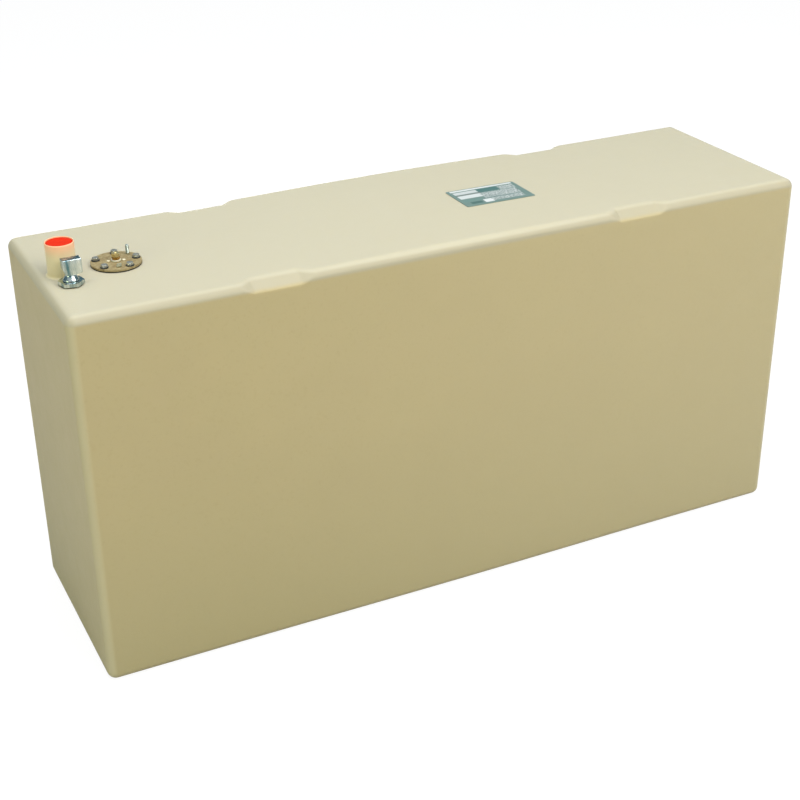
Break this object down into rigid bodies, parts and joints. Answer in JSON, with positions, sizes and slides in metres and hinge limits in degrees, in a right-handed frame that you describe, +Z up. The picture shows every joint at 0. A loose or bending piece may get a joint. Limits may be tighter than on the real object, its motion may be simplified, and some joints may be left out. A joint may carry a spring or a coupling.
{
  "type": "fresh water tank",
  "caption": "Long upright moulded water tank with rounded edges, strap seats, a filler neck with a plug, a draw elbow with a dip tube, and a float level sender.",
  "frame": {"origin": "centre of the bounding box at the underside, level with the flat base", "axes": "+X along the tank away from the fittings, -Y out of the long front, +Z up"},
  "size_m": [1.105, 0.32, 0.589],
  "materials": {
    "polyethylene": "moulded matte, slightly translucent",
    "red_plastic": "moulded satin",
    "zinc_plate": "bright zinc plate",
    "yellow_zinc": "yellow passivated zinc, mottled",
    "steel": "plain zinc plated",
    "brass": "turned",
    "rubber": "moulded matte",
    "white_plastic": "moulded",
    "black_plastic": "moulded",
    "ceramic_card": "printed",
    "aluminium": "drawn tube",
    "lead_sleeve": "extruded",
    "label_foil": "printed foil, satin"
  },
  "bodies": {
    "root": {"tank_shell": "polyethylene", "filler_neck": "polyethylene", "label_plate": "label_foil", "draw_insert": "brass", "draw_seal": "rubber", "draw_bushing": "zinc_plate", "draw_elbow": "zinc_plate", "dip_tube": "aluminium", "dip_strainer": "white_plastic", "sender_gasket": "rubber", "sender_flange": "yellow_zinc", "sender_mount_ring": "steel", "terminal_bush": "white_plastic", "terminal_insulator": "white_plastic", "terminal_stud": "brass", "terminal_lower_nut": "brass", "terminal_upper_nut": "brass", "ground_stud": "zinc_plate", "ground_tab": "zinc_plate", "drop_bracket": "steel", "resistor_housing": "black_plastic", "resistor_cover": "black_plastic", "resistor_card": "ceramic_card", "signal_lead": "lead_sleeve", "pivot_pin": "steel", "pivot_clip": "steel", "sender_screw_1": "steel", "sender_washer_1": "steel", "sender_screw_2": "steel", "sender_washer_2": "steel", "sender_screw_3": "steel", "sender_washer_3": "steel", "sender_screw_4": "steel", "sender_washer_4": "steel", "sender_screw_5": "steel", "sender_washer_5": "steel", "bracket_rivet_1": "steel", "bracket_rivet_2": "steel"},
    "fill_plug": {"fill_plug": "red_plastic"},
    "float_arm": {"arm_hub": "white_plastic", "wiper": "brass", "float_arm": "steel", "float": "black_plastic", "float_clip_1": "steel", "float_clip_2": "steel"}
  },
  "joints": [
    {"name": "fill_plug_pull", "type": "slide", "parent": "root", "child": "fill_plug", "axis": [0, 0, 1], "range_m": [0, 0.06]},
    {"name": "float_arm_swing", "type": "hinge", "parent": "root", "child": "float_arm", "pos_m": [-0.445, -0.038, 0.274], "axis": [0, -1, 0], "range_deg": [0, 96]}
  ]
}
